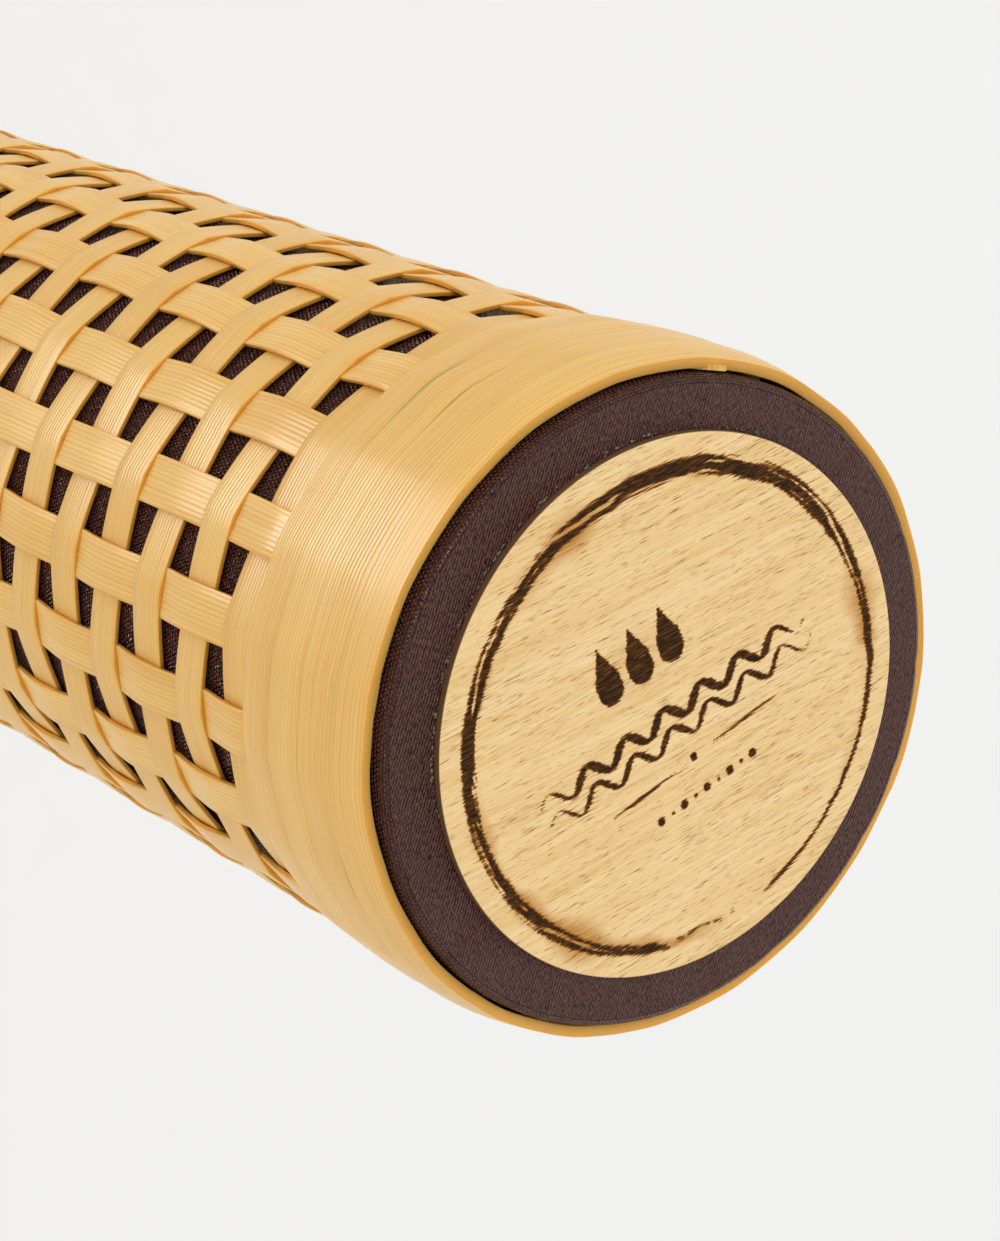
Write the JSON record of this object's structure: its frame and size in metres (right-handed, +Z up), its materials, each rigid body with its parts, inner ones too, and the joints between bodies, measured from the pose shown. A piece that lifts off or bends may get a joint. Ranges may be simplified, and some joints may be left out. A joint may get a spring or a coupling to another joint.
{
  "type": "rainstick",
  "caption": "Hand percussion rainstick: a capped cardboard tube with a spiral of cross nails and loose grains inside, wrapped in dark cloth under an open basket weave of flat rattan strands.",
  "frame": {"origin": "centre of the lower end disc's outer face, where the standing stick rests", "axes": "+Z up along the stick's long axis, +X through the middle of stake 1"},
  "size_m": [0.0818, 0.082, 0.6],
  "materials": {
    "rattan": "satin, finely ribbed",
    "book_cloth": "coated weave, low sheen",
    "veneer": "sanded, unvarnished",
    "tube_board": "matt",
    "plug_board": "sawn, matt",
    "nail_steel": "drawn wire",
    "pebble": "water-worn"
  },
  "bodies": {
    "stick": {"core_tube": "tube_board", "end_plug_bottom": "plug_board", "end_plug_top": "plug_board", "nail_1": "nail_steel", "nail_2": "nail_steel", "nail_3": "nail_steel", "nail_4": "nail_steel", "nail_5": "nail_steel", "nail_6": "nail_steel", "nail_7": "nail_steel", "nail_8": "nail_steel", "nail_9": "nail_steel", "nail_10": "nail_steel", "nail_11": "nail_steel", "nail_12": "nail_steel", "nail_13": "nail_steel", "nail_14": "nail_steel", "nail_15": "nail_steel", "nail_16": "nail_steel", "nail_17": "nail_steel", "nail_18": "nail_steel", "nail_19": "nail_steel", "nail_20": "nail_steel", "nail_21": "nail_steel", "nail_22": "nail_steel", "cloth_cover": "book_cloth", "stake_1": "rattan", "stake_2": "rattan", "stake_3": "rattan", "stake_4": "rattan", "stake_5": "rattan", "stake_6": "rattan", "stake_7": "rattan", "stake_8": "rattan", "stake_9": "rattan", "stake_10": "rattan", "stake_11": "rattan", "stake_12": "rattan", "stake_13": "rattan", "stake_14": "rattan", "stake_15": "rattan", "stake_16": "rattan", "stake_17": "rattan", "stake_18": "rattan", "stake_19": "rattan", "stake_20": "rattan", "stake_21": "rattan", "weaver_spiral": "rattan", "border_binding_bottom": "rattan", "border_binding_top": "rattan", "end_disc_bottom": "veneer", "end_disc_top": "veneer"},
    "grain_1": {"grain_1": "pebble"},
    "grain_2": {"grain_2": "pebble"},
    "grain_3": {"grain_3": "pebble"},
    "grain_4": {"grain_4": "pebble"},
    "grain_5": {"grain_5": "pebble"},
    "grain_6": {"grain_6": "pebble"},
    "grain_7": {"grain_7": "pebble"},
    "grain_8": {"grain_8": "pebble"}
  },
  "joints": [
    {"name": "grain_1_fall", "type": "slide", "parent": "stick", "child": "grain_1", "axis": [0, 0, 1], "range_m": [0, 0.567]},
    {"name": "grain_2_fall", "type": "slide", "parent": "stick", "child": "grain_2", "axis": [0, 0, 1], "range_m": [0, 0.567]},
    {"name": "grain_3_fall", "type": "slide", "parent": "stick", "child": "grain_3", "axis": [0, 0, 1], "range_m": [0, 0.567]},
    {"name": "grain_4_fall", "type": "slide", "parent": "stick", "child": "grain_4", "axis": [0, 0, 1], "range_m": [0, 0.567]},
    {"name": "grain_5_fall", "type": "slide", "parent": "stick", "child": "grain_5", "axis": [0, 0, 1], "range_m": [0, 0.567]},
    {"name": "grain_6_fall", "type": "slide", "parent": "stick", "child": "grain_6", "axis": [0, 0, 1], "range_m": [0, 0.567]},
    {"name": "grain_7_fall", "type": "slide", "parent": "stick", "child": "grain_7", "axis": [0, 0, 1], "range_m": [0, 0.567]},
    {"name": "grain_8_fall", "type": "slide", "parent": "stick", "child": "grain_8", "axis": [0, 0, 1], "range_m": [0, 0.567]}
  ]
}
